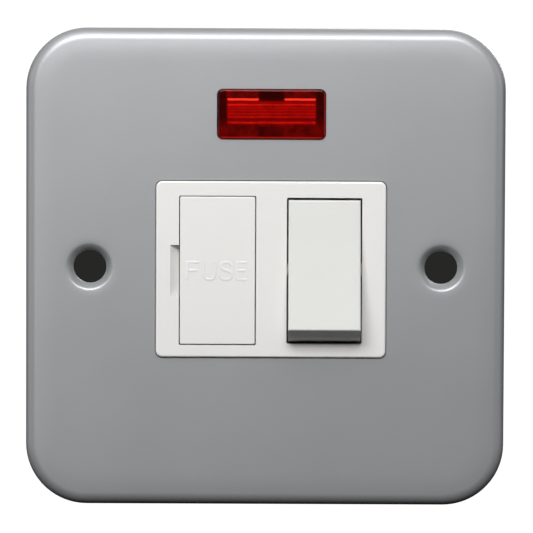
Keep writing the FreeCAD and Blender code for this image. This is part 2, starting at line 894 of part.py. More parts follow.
def rocker_axles():
    inner = rocker_width / 2 - rocker_wall
    outer = rocker_width / 2 + axle_length
    axles = []
    for side in (-1, 1):
        start = vector(rocker_x + side * inner, pivot_depth, well_z)
        end = vector(rocker_x + side * outer, pivot_depth, well_z)
        axles.append(rod(start, end, axle_radius))
    return axles


def plunger(x):
    nose_centre = vector(x, pivot_depth + plunger_reach - plunger_radius, well_z)
    start = vector(x, pivot_depth + plunger_reach - plunger_length, well_z)
    pin = rod(start, nose_centre, plunger_radius)
    pin = pin.fuse(Part.makeSphere(plunger_radius, nose_centre)).removeSplitter()
    return turned(pin, pivot_depth, well_z, -rocker_throw / 2)


def plunger_spring(x):
    # It ends short of the plunger by the plunger's travel.
    start = bore_end + spring_wire_radius
    end = plunger_reach - plunger_length - plunger_travel - spring_wire_radius - plunger_gap
    height = end - start
    coil = Part.makeHelix(height / spring_turns, height, spring_radius)
    section = flatted_section(
        vector(spring_radius, 0, 0), vector(0, 1, 0), spring_wire_radius, 4)
    spring = Part.Wire(coil).makePipeShell([section], True, True)
    spring.rotate(vector(0, 0, 0), vector(1, 0, 0), -90)
    spring.translate(vector(x, pivot_depth + start, well_z))
    return turned(spring, pivot_depth, well_z, -rocker_throw / 2)


def arm_side(x, length, side):
    # One half of the see-saw, bent forward from the axis.
    half = box(
        span(x, arm_width), span(arm_depth, arm_sheet), (well_z, well_z + length))
    if side < 0:
        half = half.mirror(vector(0, 0, well_z), vector(0, 0, 1))
    return turned(half, arm_depth, well_z, side * arm_bend)


def contact_arm(x):
    pieces = [arm_side(x, arm_lower_length, -1)]
    for side in (-1, 1):
        inner = x + side * (arm_width / 2 - cheek_gap)
        outer = x + side * (arm_width / 2 + tab_length)
        pieces.append(rod(vector(inner, arm_depth, well_z), vector(outer, arm_depth, well_z), tab_radius))
    arm = fuse_all(arm_side(x, arm_upper_length, 1), pieces)
    return turned(arm, arm_depth, well_z, arm_throw / 2)


def moving_contact(x):
    back = arm_depth + arm_sheet / 2
    button = rod(
        vector(x, back, contact_z), vector(x, back + moving_contact_height, contact_z),
        moving_contact_radius)
    return turned(button, arm_depth, well_z, arm_bend + arm_throw / 2)


def fixed_contact(x):
    return rod(
        vector(x, fixed_contact_front, contact_z), vector(x, strip_front, contact_z),
        fixed_contact_radius)


def fulcrum(x, foot_rear):
    # A channel whose two cheeks are notched for the arm's tabs, with a lug that stops the arm.
    foot = (foot_rear - cheek_sheet, foot_rear)
    inner = arm_width / 2 + cheek_gap
    outer = inner + cheek_sheet
    stop_z = well_z - arm_lower_length
    stop_front = arm_depth + arm_sheet / 2 + stop_gap
    pieces = [box(span(x, arm_width), (stop_front, foot_rear), span(stop_z, 2 * stop_half_width))]
    for side in (-1, 1):
        edges = sorted((x + side * inner, x + side * outer))
        pieces.append(box(edges, (arm_depth - cheek_rim, foot_rear), span(well_z, cheek_height)))
    bracket = box(span(x, 2 * outer), foot, (stop_z - stop_half_width, well_z + cheek_height / 2))
    bracket = fuse_all(bracket, pieces)
    radius = tab_radius + tab_gap
    notch = rod(
        vector(x - outer - cut_past, arm_depth, well_z),
        vector(x + outer + cut_past, arm_depth, well_z), radius)
    mouth = box(
        span(x, 2 * (outer + cut_past)), (arm_depth - cheek_rim - cut_past, arm_depth),
        span(well_z, 2 * radius))
    return bracket.cut([notch, mouth])


def supply_strip(terminal_x, pole_x):
    # Runs up from its terminal and across to its contact.
    half = strap_width / 2
    side = 1 if pole_x > terminal_x else -1
    pad = fixed_contact_radius + contact_pad_margin
    pad_end = pole_x + side * pad
    low = contact_z - pad
    high = contact_z + pad
    tail = lower_cell_z - block_height / 2 + strip_end_inset
    near = terminal_x + side * half
    far = terminal_x - side * half
    outline = [(far, tail), (near, tail), (near, low), (pad_end, low), (pad_end, high), (far, high)]
    return flat_strip(outline, strip_front)


def neutral_load_strip():
    pole_x = pole_places["neutral"]
    half = clip_width / 2
    top = well_z + cheek_height / 2 + stop_half_width
    tail = lower_cell_z - block_height / 2 + strip_end_inset
    step_high = cavity_bottom + clip_width
    step_low = cavity_bottom + strip_end_inset
    outline = [
        (pole_x - half, top), (pole_x + half, top), (pole_x + half, step_high),
        (neutral_load_x + half, step_high), (neutral_load_x + half, tail),
        (neutral_load_x - half, tail), (neutral_load_x - half, step_low),
        (pole_x - half, step_low),
    ]
    return flat_strip(outline, strip_front)


def live_load_strip():
    tail = lower_cell_z - block_height / 2 + strip_end_inset
    top = clip_places["lower"] + clip_width / 2
    half = clip_width / 2
    outline = [
        (fuse_x - half, tail), (fuse_x + half, tail), (fuse_x + half, top), (fuse_x - half, top)]
    return flat_strip(outline, strip_front)


def live_link():
    # Crosses behind the other strips, then rises to the upper fuse clip.
    pole_x = pole_places["live"]
    half = clip_width / 2
    low = well_z - arm_lower_length - 2 * stop_half_width
    run_low = clip_places["upper"] + clip_width / 2 + link_run_clear
    run_high = run_low + clip_width
    outline = [
        (pole_x - half, low), (pole_x + half, low), (pole_x + half, run_high),
        (fuse_x - half, run_high), (fuse_x - half, run_low), (pole_x - half, run_low),
    ]
    plate = flat_strip(outline, link_front)
    upper_middle = strip_front + strip_sheet / 2
    lower_middle = link_front + strip_sheet / 2
    start_z = clip_places["upper"] - clip_width / 2
    rise_z = clip_places["upper"] + clip_width / 2 + link_rise_clear
    path = [
        vector(fuse_x, upper_middle, start_z),
        vector(fuse_x, upper_middle, rise_z),
        vector(fuse_x, lower_middle, rise_z),
        vector(fuse_x, lower_middle, run_low + join_overlap),
    ]
    riser = bent_strip(path, link_bend_radius, strip_sheet, clip_width, vector(1, 0, 0))
    return fuse_all(plate, [riser])


def earth_strap():
    # Joins both earth terminals, and its tab runs out and forward to the plate's stud.
    low = lower_cell_z - block_height / 2 + strip_end_inset
    high = upper_cell_z + block_height / 2 - strip_end_inset
    half = strap_width / 2
    outline = [
        (earth_x - half, low), (earth_x + half, low), (earth_x + half, high), (earth_x - half, high)]
    strap = flat_strip(outline, strip_front)
    stud_x, stud_z = ear_places[0]
    out_x = insert_x - base_width / 2 - strap_clear
    rear_middle = strip_front + strip_sheet / 2
    front_middle = flange_rear + strip_sheet / 2
    path = [
        vector(earth_x, rear_middle, stud_z),
        vector(out_x, rear_middle, stud_z),
        vector(out_x, front_middle, stud_z),
        vector(stud_x - washer_radius, front_middle, stud_z),
    ]
    tab = bent_strip(path, strap_bend_radius, strip_sheet, strap_tab_width, vector(0, 0, 1))
    hole = rod(
        vector(stud_x, flange_rear - cut_past, stud_z),
        vector(stud_x, flange_rear + strip_sheet + cut_past, stud_z),
        stud_radius + strip_gap)
    return fuse_all(strap, [tab]).cut(hole)


def neon_lens():
    # A clear moulding held behind the plate by its rim, with prisms on its back.
    rear = lens_thickness - lens_proud
    window = slab(
        insert_x, lens_z, lens_width, lens_height, lens_corner_radius, (-lens_proud, rear))
    window = window.makeFillet(lens_edge_radius, flat_edges(window, -lens_proud))
    rim = slab(
        insert_x, lens_z, lens_width + 2 * lens_flange_margin, lens_height + 2 * lens_flange_margin,
        lens_corner_radius, (rear - lens_flange_thickness, rear))
    pieces = [rim]
    for side in (-1, 1):
        outer = lens_height / 2
        edges = sorted((lens_z + side * outer, lens_z + side * (outer - lens_leg_thickness)))
        legs_end = rear + lens_leg_reach
        pieces.append(box(span(insert_x, lens_leg_width), (rear - join_overlap, legs_end), edges))
        hook_edges = sorted((
            lens_z + side * (outer + lens_hook), lens_z + side * (outer - lens_hook_overlap)))
        hook_front = flange_rear + lens_gap
        pieces.append(box(span(insert_x, lens_leg_width), (hook_front, legs_end), hook_edges))
    lens = fuse_all(window, pieces)
    return lens.cut(lens_grooves(rear))


def lens_grooves(rear):
    grooves = []
    length = lens_width - 2 * lens_rib_margin
    for row in range(lens_rib_rows):
        z = lens_z + (row - (lens_rib_rows - 1) / 2) * lens_rib_pitch
        half = (lens_rib_pitch - lens_rib_land) / 2
        start = insert_x - length / 2
        grooves.append(prism(
            [
                vector(start, rear + thread_gap, z - half),
                vector(start, rear - lens_rib_depth, z),
                vector(start, rear + thread_gap, z + half),
            ],
            vector(length, 0, 0)))
    return grooves


def neon_lamp():
    start = vector(insert_x - lamp_length / 2, lamp_depth, lens_z)
    end = vector(insert_x + lamp_length / 2 - lamp_radius, lamp_depth, lens_z)
    tip = start + vector(lamp_radius, 0, 0)
    glass = rod(tip, end, lamp_radius)
    glass = glass.fuse(cone(start, tip, lamp_tip_radius, lamp_radius))
    stem = rod(end, end + vector(lamp_radius, 0, 0), lamp_stem_radius)
    return fuse_all(glass, [stem])


def lead_places():
    # The corridor between the two wells, and the height under them where the leads part.
    corridor_x = (
        fuse_x + fuse_opening_width / 2 + rocker_x - rocker_opening_width / 2) / 2
    under_wells = cavity_bottom + lead_floor_gap
    above_wells = well_z + fuse_opening_height / 2 + well_wall + lead_well_gap
    return corridor_x, under_wells, above_wells


def lamp_lead_neutral():
    corridor_x, under_wells, above_wells = lead_places()
    start_x = insert_x + lamp_length / 2
    y = lamp_depth - lead_spread
    out_x = start_x + lead_neutral_run
    return lead([
        vector(start_x, y, lens_z), vector(out_x, y, lens_z), vector(out_x, y, above_wells),
        vector(corridor_x, y, above_wells), vector(corridor_x, y, under_wells),
        vector(neutral_load_x, y, under_wells), vector(neutral_load_x, strip_front, under_wells),
    ])


def lamp_lead_live():
    # Two lengths, before and after the resistor.
    corridor_x, under_wells, above_wells = lead_places()
    start_x = insert_x + lamp_length / 2
    y = lamp_depth + lead_spread
    out_x = start_x + lead_live_run
    resistor_z = above_wells + lead_live_rise
    resistor_right, resistor_left = resistor_ends()
    before = lead([
        vector(start_x, y, lens_z), vector(out_x, y, lens_z), vector(out_x, y, resistor_z),
        vector(resistor_right, y, resistor_z),
    ])
    after = lead([
        vector(resistor_left, y, resistor_z), vector(corridor_x, y, resistor_z),
        vector(corridor_x, y, under_wells), vector(live_load_x, y, under_wells),
        vector(live_load_x, strip_front, under_wells),
    ])
    return Part.makeCompound([before, after])


def resistor_ends():
    corridor_x = lead_places()[0]
    left = corridor_x + resistor_lead_run
    return left + resistor_length, left


def ballast_resistor():
    right, left = resistor_ends()
    y = lamp_depth + lead_spread
    z = lead_places()[2] + lead_live_rise
    barrel = rod(vector(left, y, z), vector(right, y, z), resistor_waist_radius)
    bells = []
    for start in (left, right - resistor_bell_length):
        end = start + resistor_bell_length
        bells.append(rod(vector(start, y, z), vector(end, y, z), resistor_radius))
    return fuse_all(barrel, bells)


def build_parts():
    os.makedirs("parts", exist_ok=True)
    export("front_plate", front_plate())
    export("switch_housing", switch_housing())
    export("terminal_base", terminal_base())
    export("housing_screws", housing_screws())
    studs, washers, nuts = fixings()
    export("plate_studs", Part.makeCompound(studs))
    export("stud_washers", Part.makeCompound(washers))
    export("stud_nuts", Part.makeCompound(nuts))
    export("fuse_carrier", fuse_carrier())
    fuse_body, caps = cartridge_fuse()
    export("fuse_body", fuse_body)
    for name, z in clip_places.items():
        export("fuse_cap_" + name, caps[name])
        export("fuse_clip_" + name, fuse_clip(z))
    export("rocker", rocker())
    foot_depths = {"neutral": strip_front, "live": link_front}
    supply_places = {"neutral": neutral_supply_x, "live": live_supply_x}
    for name, x in pole_places.items():
        export("plunger_" + name, plunger(x))
        export("plunger_spring_" + name, plunger_spring(x))
        export("contact_arm_" + name, contact_arm(x))
        export("moving_contact_" + name, moving_contact(x))
        export("fixed_contact_" + name, fixed_contact(x))
        export("fulcrum_" + name, fulcrum(x, foot_depths[name]))
        export(name + "_supply_strip", supply_strip(supply_places[name], x))
    export("neutral_load_strip", neutral_load_strip())
    export("live_load_strip", live_load_strip())
    export("live_link", live_link())
    export("earth_strap", earth_strap())
    for name, (x, z, side) in terminal_places().items():
        export(name, terminal_block(x, z))
    export("terminal_screws", terminal_screws())
    export("neon_lens", neon_lens())
    export("neon_lamp", neon_lamp())
    export("ballast_resistor", ballast_resistor())
    export("lamp_lead_neutral", lamp_lead_neutral())
    export("lamp_lead_live", lamp_lead_live())


build_parts()
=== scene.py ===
import bmesh
import bpy
import json
import math
from mathutils import Matrix, Vector


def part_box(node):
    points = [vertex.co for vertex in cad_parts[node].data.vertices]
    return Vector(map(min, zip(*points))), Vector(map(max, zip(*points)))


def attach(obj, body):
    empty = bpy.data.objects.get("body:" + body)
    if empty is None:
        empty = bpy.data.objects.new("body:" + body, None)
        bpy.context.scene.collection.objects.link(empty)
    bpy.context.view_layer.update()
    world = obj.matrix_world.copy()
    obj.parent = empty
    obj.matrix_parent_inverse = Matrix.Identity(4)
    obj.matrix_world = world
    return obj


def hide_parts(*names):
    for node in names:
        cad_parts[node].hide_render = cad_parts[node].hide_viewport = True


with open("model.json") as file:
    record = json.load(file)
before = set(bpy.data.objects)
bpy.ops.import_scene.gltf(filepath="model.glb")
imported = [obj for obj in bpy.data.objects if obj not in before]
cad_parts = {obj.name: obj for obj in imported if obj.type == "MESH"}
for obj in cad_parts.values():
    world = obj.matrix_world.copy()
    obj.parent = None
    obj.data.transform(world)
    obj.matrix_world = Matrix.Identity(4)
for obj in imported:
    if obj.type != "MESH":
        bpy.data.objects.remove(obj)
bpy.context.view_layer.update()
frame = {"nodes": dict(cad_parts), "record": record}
nodes = frame["nodes"]
mm = 0.001
mergeWithin, flatWithin, tiny = 2e-6, 5e-6, 1e-6   # points that are one, points on one plane, and next to nothing
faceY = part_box("front_plate")[0].y                 # the plate's front face
print("frame loaded:", len(nodes), "nodes")


class Wire:
    # one output socket that can stand in a sum or a product
    def __init__(self, graph, socket):
        self.graph, self.socket = graph, socket

    def calc(self, operation, first, second):
        return self.graph.wire("ShaderNodeMath", {"operation": operation}, {0: first, 1: second})

    def __add__(self, other): return self.calc("ADD", self, other)
    def __radd__(self, other): return self.calc("ADD", other, self)
    def __sub__(self, other): return self.calc("SUBTRACT", self, other)
    def __rsub__(self, other): return self.calc("SUBTRACT", other, self)
    def __mul__(self, other): return self.calc("MULTIPLY", self, other)
    def __rmul__(self, other): return self.calc("MULTIPLY", other, self)
    def __truediv__(self, other): return self.calc("DIVIDE", self, other)
    def __lt__(self, other): return self.calc("LESS_THAN", self, other)
    def __abs__(self): return self.calc("ABSOLUTE", self, 0.0)


class Graph:
    # a node tree under construction: every node comes from one call, with its settings and then its sockets
    def __init__(self, tree):
        self.tree = tree
        tree.nodes.clear()

    def node(self, kind, settings=None, sockets=None):
        made = self.tree.nodes.new(kind)
        for key, value in (settings or {}).items():
            if key == "stops":
                ramp = made.color_ramp.elements
                while len(ramp) < len(value):
                    ramp.new(1.0)
                for stop, (position, color) in zip(ramp, value):
                    stop.position, stop.color = position, (*color, 1.0)
            else:
                setattr(made, key, value)
        for key, value in (sockets or {}).items():
            self.join(value, made.inputs[key])
        return made

    def wire(self, kind, settings=None, sockets=None, output=0):
        return Wire(self, self.node(kind, settings, sockets).outputs[output])

    def join(self, value, socket):
        if isinstance(value, Wire):
            self.tree.links.new(value.socket, socket)
        elif socket.type == "RGBA" and len(value) == 3:
            socket.default_value = (*value, 1.0)
        else:
            socket.default_value = value

    def axes(self, place):
        parts = self.node("ShaderNodeSeparateXYZ", None, {0: place})
        return [Wire(self, parts.outputs[axis]) for axis in ("X", "Y", "Z")]


class Finish(Graph):
    # a material under construction
    def __init__(self, name):
        self.material = bpy.data.materials.new(name)
        self.material.use_nodes = True
        super().__init__(self.material.node_tree)
        self.output = self.node("ShaderNodeOutputMaterial")
        self.place = self.wire("ShaderNodeTexCoord", output="Object")

    def noise(self, scale, detail=2.0, rough=0.5, stretch=None):
        place = self.place
        if stretch:
            place = self.wire("ShaderNodeMapping", None, {"Vector": place, "Scale": stretch})
        return self.wire("ShaderNodeTexNoise", None, {
            "Vector": place, "Scale": scale, "Detail": detail, "Roughness": rough}, "Fac")

    def swing(self, noise, share):
        # a noise as a swing either side of nothing
        return (noise - 0.5) * share

    def between(self, value, low, high, outLow=0.0, outHigh=1.0):
        return self.wire("ShaderNodeMapRange", None, {
            "Value": value, "From Min": low, "From Max": high, "To Min": outLow, "To Max": outHigh})

    def blend(self, factor, first, second):
        # 6 and 7 are a Mix node's two colours, and 2 is its colour output
        return self.wire("ShaderNodeMix", {"data_type": "RGBA"}, {0: factor, 6: first, 7: second}, 2)

    def largest(self, first, second):
        return first.calc("MAXIMUM", first, second)

    def bump(self, height, distance, strength):
        return self.wire("ShaderNodeBump", None, {"Height": height, "Distance": distance, "Strength": strength})

    def surface(self, **sockets):
        shader = self.wire("ShaderNodeBsdfPrincipled", None, {
            key.replace("_", " "): value for key, value in sockets.items()})
        self.join(shader, self.output.inputs["Surface"])
        return self.material


# scales are how fine a pattern is, heights are in metres, and gloss is how far a pattern swings the roughness
paint = {
    "color": (0.374, 0.380, 0.391), "warm": (0.354, 0.360, 0.371), "metallic": 0.42, "roughness": 0.42,
    "cloudScale": 60.0, "cloudGloss": 0.05,
    "fleckScale": 5200.0, "fleckGloss": 0.10, "fleckShare": 0.10, "fleckColor": (0.52, 0.53, 0.55),
    "peelScale": 1500.0, "peelHeight": 0.000012}


def satinPaint():
    f = Finish("satinGreyPaint")
    cloud = f.noise(paint["cloudScale"], 3.0)
    fleck = f.noise(paint["fleckScale"], 2.0, 0.6)
    peel = f.noise(paint["peelScale"], 2.0, 0.4)
    color = f.blend(cloud, paint["warm"], paint["color"])
    color = f.blend(f.between(fleck, 0.35, 0.75, 0.0, paint["fleckShare"]), color, paint["fleckColor"])
    return f.surface(
        Base_Color=color, Metallic=paint["metallic"],
        Roughness=paint["roughness"] + f.swing(fleck, paint["fleckGloss"]) + f.swing(cloud, paint["cloudGloss"]),
        Normal=f.bump(peel + fleck * 0.5, paint["peelHeight"], 0.5))


white = {"color": (0.778, 0.770, 0.752), "shade": (0.758, 0.750, 0.731), "roughness": 0.17, "specular": 0.42}
# the rocker's white is the insert's white made darker: painted shade, for the stronger light on its tilted face
rockerShadedWhite = {"color": (0.655, 0.655, 0.628), "shade": (0.635, 0.635, 0.608), "roughness": 0.17, "specular": 0.12}
moulding = {
    "cloudScale": 90.0, "grainScale": 3800.0, "grainHeight": 0.000004, "grainGloss": 0.08,
    "speckScale": 900.0, "speckFrom": (0.74, 0.80), "speckShare": 0.25, "speckColor": (0.55, 0.53, 0.48),
    "glowDepth": 0.0012, "glowColor": (0.9, 0.8, 0.7), "glow": 0.08}


def whiteMoulding(name, plan):
    f = Finish(name)
    cloud = f.noise(moulding["cloudScale"], 3.0)
    grain = f.noise(moulding["grainScale"], 3.0, 0.6)
    speck = f.between(f.noise(moulding["speckScale"], 4.0, 0.7), *moulding["speckFrom"])
    color = f.blend(cloud, plan["shade"], plan["color"])
    color = f.blend(speck * moulding["speckShare"], color, moulding["speckColor"])
    return f.surface(
        Base_Color=color, Roughness=plan["roughness"] + f.swing(grain, moulding["grainGloss"]),
        Specular_IOR_Level=plan["specular"], Subsurface_Weight=moulding["glow"],
        Subsurface_Radius=moulding["glowColor"], Subsurface_Scale=moulding["glowDepth"],
        Normal=f.bump(grain, moulding["grainHeight"], 0.4))


mattGrain = {"cloudScale": 140.0, "scale": 2600.0, "gloss": 0.16, "height": 0.00002}


def mattMoulding(name, color, dark, roughness):
    f = Finish(name)
    cloud = f.noise(mattGrain["cloudScale"], 3.0)
    grain = f.noise(mattGrain["scale"], 4.0, 0.6)
    return f.surface(
        Base_Color=f.blend(cloud, dark, color), Roughness=roughness + f.swing(grain, mattGrain["gloss"]),
        Normal=f.bump(grain, mattGrain["height"], 0.6))


rolling = {"lineScale": 900.0, "lineGloss": 0.18, "lineHeight": 0.000008, "patchScale": 260.0, "patchGloss": 0.10,
           "stained": (0.45, 0.75)}


def rolledMetal(name, color, stain, roughness, stretch):
    # fine rolling or turning lines, and a tarnish that gathers in patches
    f = Finish(name)
    lines = f.noise(rolling["lineScale"], 3.0, 0.7, stretch)
    patch = f.noise(rolling["patchScale"], 4.0, 0.6)
    return f.surface(
        Base_Color=f.blend(f.between(patch, *rolling["stained"]), color, stain), Metallic=1.0,
        Roughness=roughness + f.swing(lines, rolling["lineGloss"]) + f.swing(patch, rolling["patchGloss"]),
        Normal=f.bump(lines, rolling["lineHeight"], 0.5))


lensFinish = {
    # the margin is the lens's own dark red; the other colours are painted: a painted glow in the margin, painted
    # light in the window, painted highlights for the lines, the crest and the rim, and painted shade for the dark
    # blocks and legs
    "margin": (0.060, 0.0007, 0.0005), "paintedShade": (0.016, 0.0004, 0.0003), "glow": (0.150, 0.0014, 0.0008),
    "window": (0.265, 0.0008, 0.0005), "line": (0.62, 0.008, 0.004), "crestHighlight": (0.98, 0.036, 0.018),
    "halfWide": 7.50 * mm, "low": -1.72 * mm, "high": 2.72 * mm, "blockHalf": 2.18 * mm, "soft": 0.16 * mm,
    # each painted highlight line: height over the middle and half its thickness, in mm, and how bright
    "lines": ((1.60, 0.09, 1.00), (1.08, 0.05, 0.36), (0.62, 0.05, 0.40),
              (0.08, 0.06, 0.46), (-0.46, 0.06, 0.60), (-1.45, 0.08, 0.85)),
    "darkRow": (-0.93, 0.14), "crest": (2.53, 0.13), "rowSoft": 0.12, "waver": 0.22 * mm,
    # where the dark block of painted shade begins and is full, above and below, and where the ends' dark legs of
    # painted shade fade
    "topBlock": (2.10 * mm, 2.35 * mm), "lowBlock": (-1.95 * mm, -2.20 * mm), "legs": (-2.4 * mm, -0.6 * mm),
    # the rim's painted highlight: where it begins and is full, on three sides
    "rimHighlight": (0.46, 0.008, 0.005), "lowRim": (-3.80 * mm, -3.98 * mm),
    "rightRim": (8.92 * mm, 9.08 * mm), "rightShare": 0.55, "topRim": (3.92 * mm, 4.06 * mm), "topShare": 0.30,
    "specular": 0.20, "refraction": 1.49, "rippleHeight": 0.000008}


def redLens():
    # painted light: the light that the prisms on the back catch is painted as bright lines in a lit window, with
    # painted shade as darker blocks and legs above and below, and a painted highlight on the rim
    f = Finish("redLens")
    low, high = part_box("neon_lens")
    plan = lensFinish
    soft = plan["soft"]
    x, _, z = f.axes(f.place)
    x = x - (low.x + high.x) / 2
    z = z - (low.z + high.z) / 2
    streak = f.noise(700.0, 3.0, 0.6, (0.35, 0.0, 0.6))
    ripple = f.noise(520.0, 4.0, 0.65, (1.0, 0.0, 1.0))
    waver = z + f.swing(f.noise(300.0, 2.0, 0.5, (1.0, 0.0, 0.2)), plan["waver"])

    def row(middle, half):
        return f.between(abs(waver - middle * mm), half * mm, (half + plan["rowSoft"]) * mm, 1.0, 0.0)

    inside = f.between(abs(x), plan["halfWide"] - soft, plan["halfWide"] + soft, 1.0, 0.0)
    inside = inside * f.between(z, plan["low"] - soft, plan["low"] + soft)
    inside = inside * f.between(z, plan["high"] - soft / 2, plan["high"] + soft / 2, 1.0, 0.0)
    block = f.between(abs(x), plan["blockHalf"] - soft, plan["blockHalf"] + soft, 1.0, 0.0)
    ends = f.between(abs(x), plan["halfWide"], plan["halfWide"] + 2 * soft)

    # painted light: the window's brightness and its highlight lines
    window = f.blend(row(*plan["darkRow"]) * 0.55, plan["window"], plan["margin"])
    for middle, half, bright in plan["lines"]:
        broken = f.between(streak, 0.30, 0.62, 0.35, 1.0)
        window = f.blend(row(middle, half) * broken * bright, window, plan["line"])
    window = f.blend(f.between(ripple, 0.62, 0.36, 0.0, 0.35), window, plan["margin"])
    window = f.blend(row(*plan["crest"]) * (1 - block), window, plan["crestHighlight"])

    # painted shade in the dark blocks and legs, and a painted glow in the margin
    lowBlock = block * f.between(z, *plan["lowBlock"])
    margin = f.blend(f.between(ripple, 0.40, 0.68), plan["margin"], plan["glow"])
    margin = f.blend(f.largest(lowBlock * 0.6, ends * f.between(z, *plan["legs"])) * 0.8, margin, plan["paintedShade"])

    color = f.blend(inside, margin, window)
    color = f.blend(block * f.between(z, *plan["topBlock"]) * 0.9, color, plan["paintedShade"])
    # painted highlight along the rim
    rim = f.largest(f.between(z, *plan["lowRim"]), f.between(x, *plan["rightRim"]) * plan["rightShare"])
    rim = f.largest(rim, f.between(z, *plan["topRim"]) * plan["topShare"])
    return f.surface(
        Base_Color=f.blend(rim, color, plan["rimHighlight"]), Roughness=0.10 + ripple * 0.05,
        IOR=plan["refraction"], Specular_IOR_Level=plan["specular"],
        Normal=f.bump(ripple, plan["rippleHeight"], 0.3))


lamp = {"glass": (0.95, 0.93, 0.90), "soot": (0.80, 0.76, 0.70), "clear": 0.85, "refraction": 1.5}


def lampGlass():
    f = Finish("lampGlass")
    sooty = f.noise(400.0, 3.0)
    return f.surface(
        Base_Color=f.blend(sooty, lamp["glass"], lamp["soot"]), Roughness=0.05 + sooty * 0.06,
        Transmission_Weight=lamp["clear"], IOR=lamp["refraction"])


resistor = {
    "body": (0.50, 0.34, 0.17), "blotch": (0.58, 0.42, 0.23), "halfBand": 0.045,
    # each band: how far along the body, and its colour
    "bands": ((0.18, (0.42, 0.03, 0.02)), (0.38, (0.42, 0.03, 0.02)),
              (0.58, (0.75, 0.62, 0.05)), (0.84, (0.60, 0.42, 0.12)))}


def bandedResistor():
    f = Finish("bandedResistor")
    low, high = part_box("ballast_resistor")
    along = (f.axes(f.place)[0] - low.x) / (high.x - low.x)
    color = f.blend(f.noise(700.0), resistor["body"], resistor["blotch"])
    for centre, band in resistor["bands"]:
        color = f.blend(abs(along - centre) < resistor["halfBand"], color, band)
    return f.surface(Base_Color=color, Roughness=0.35 + f.noise(1500.0) * 0.1)


finishes = {
    "painted_steel": satinPaint(),
    "white_moulding": whiteMoulding("whiteMoulding", white),
    "base_moulding": mattMoulding("urea", (0.72, 0.72, 0.68), (0.66, 0.65, 0.61), 0.42),
    "dark_moulding": mattMoulding("blackNylon", (0.035, 0.035, 0.037), (0.022, 0.022, 0.024), 0.48),
    "zinc_steel": rolledMetal("zincPlate", (0.66, 0.67, 0.69), (0.50, 0.51, 0.52), 0.30, (1.0, 0.1, 1.0)),
    "brass": rolledMetal("rolledBrass", (0.78, 0.56, 0.25), (0.55, 0.36, 0.15), 0.30, (0.1, 1.0, 1.0)),
    "plated_brass": rolledMetal("nickelPlate", (0.72, 0.70, 0.66), (0.60, 0.57, 0.51), 0.24, (1.0, 1.0, 0.1)),
    "silver": rolledMetal("silverContact", (0.86, 0.85, 0.82), (0.62, 0.60, 0.56), 0.34, (1.0, 1.0, 1.0)),
    "ceramic": mattMoulding("fuseCeramic", (0.78, 0.76, 0.70), (0.72, 0.70, 0.63), 0.62),
    "red_lens": redLens(),
    "lamp_glass": lampGlass(),
    "resistor_body": bandedResistor(),
    "lead_sleeve": mattMoulding("leadSleeve", (0.62, 0.60, 0.54), (0.55, 0.53, 0.47), 0.55),
}
slotOf = {row["node"]: row["material_slot"] for row in frame["record"]["subparts"]}
bodyOf = {node: body for body, members in frame["record"]["behaviour"]["bodies"].items() for node in members}
for name, node in nodes.items():
    node.data.materials.clear()
    node.data.materials.append(finishes[slotOf[name]])
print("finishes:", len(finishes))


def addObject(name, data):
    made = bpy.data.objects.new(name, data)
    bpy.context.scene.collection.objects.link(made)
    return made


def plainMesh(holder):
    # what an object's modifiers make of it, as a mesh of its own
    graph = bpy.context.evaluated_depsgraph_get()
    finished = bpy.data.meshes.new_from_object(holder.evaluated_get(graph))
    bpy.data.objects.remove(holder)
    return finished


def meshPiece(name, mesh, slot, body, replaced=()):
    piece = addObject(name, mesh)
    mesh.materials.clear()
    mesh.materials.append(finishes[slot])
    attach(piece, body)
    if replaced:
        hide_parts(*replaced)
    return piece


def smoothMesh(nodeName, sharpAngle, soften):
    # a copy of a node's mesh with its loose triangles joined, and soft only where it curves
    shape = bmesh.new()
    shape.from_mesh(nodes[nodeName].data)
    bmesh.ops.remove_doubles(shape, verts=shape.verts, dist=mergeWithin)
    bmesh.ops.dissolve_degenerate(shape, edges=shape.edges, dist=tiny)
    if soften:
        soften(shape)
    for face in shape.faces:
        face.smooth = True
    for edge in shape.edges:
        edge.smooth = edge.is_manifold and edge.calc_face_angle(0.0) < math.radians(sharpAngle)
    mesh = bpy.data.meshes.new(nodeName)
    shape.to_mesh(mesh)
    shape.free()
    carrier = addObject("carrier", mesh)
    weighted = carrier.modifiers.new("even", "WEIGHTED_NORMAL")
    weighted.keep_sharp = True
    weighted.weight = 100
    return plainMesh(carrier)


pressing = {
    "bend": 2.8 * mm, "newBend": 2.20 * mm, "corner": 10.5 * mm,   # the bend's radius in the CAD, and as pressed here
    "bendSlack": 0.02 * mm, "slack": 0.01 * mm,
    # how far the face falls towards its bend, and how far from it each step lies, in mm
    "crown": 0.12 * mm, "crownSteps": (0.35, 0.75, 1.2, 1.7, 2.3, 3.2),
    "holeX": 30.15 * mm, "holeEdge": 2.85 * mm, "wallDepth": 1.34 * mm,
    "dimpleEdge": 4.40 * mm, "frontDepth": 1.15 * mm, "ringSlack": 0.03 * mm,   # which faces of the CAD's dimple go
    "turns": 64,
    # the dimple's rings from its edge inwards: radius and depth, in mm
    "profile": ((5.45, 0.0), (5.10, 0.003), (4.80, 0.010), (4.50, 0.022), (4.22, 0.040),
                (4.10, 0.050), (3.98, 0.072), (3.87, 0.110), (3.76, 0.167), (3.66, 0.242),
                (3.57, 0.332), (3.49, 0.432), (3.43, 0.520), (3.35, 0.580), (3.28, 0.680))}
plateLow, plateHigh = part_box("front_plate")
plateMiddle, plateHalf = (plateLow + plateHigh) / 2, (plateHigh - plateLow) / 2


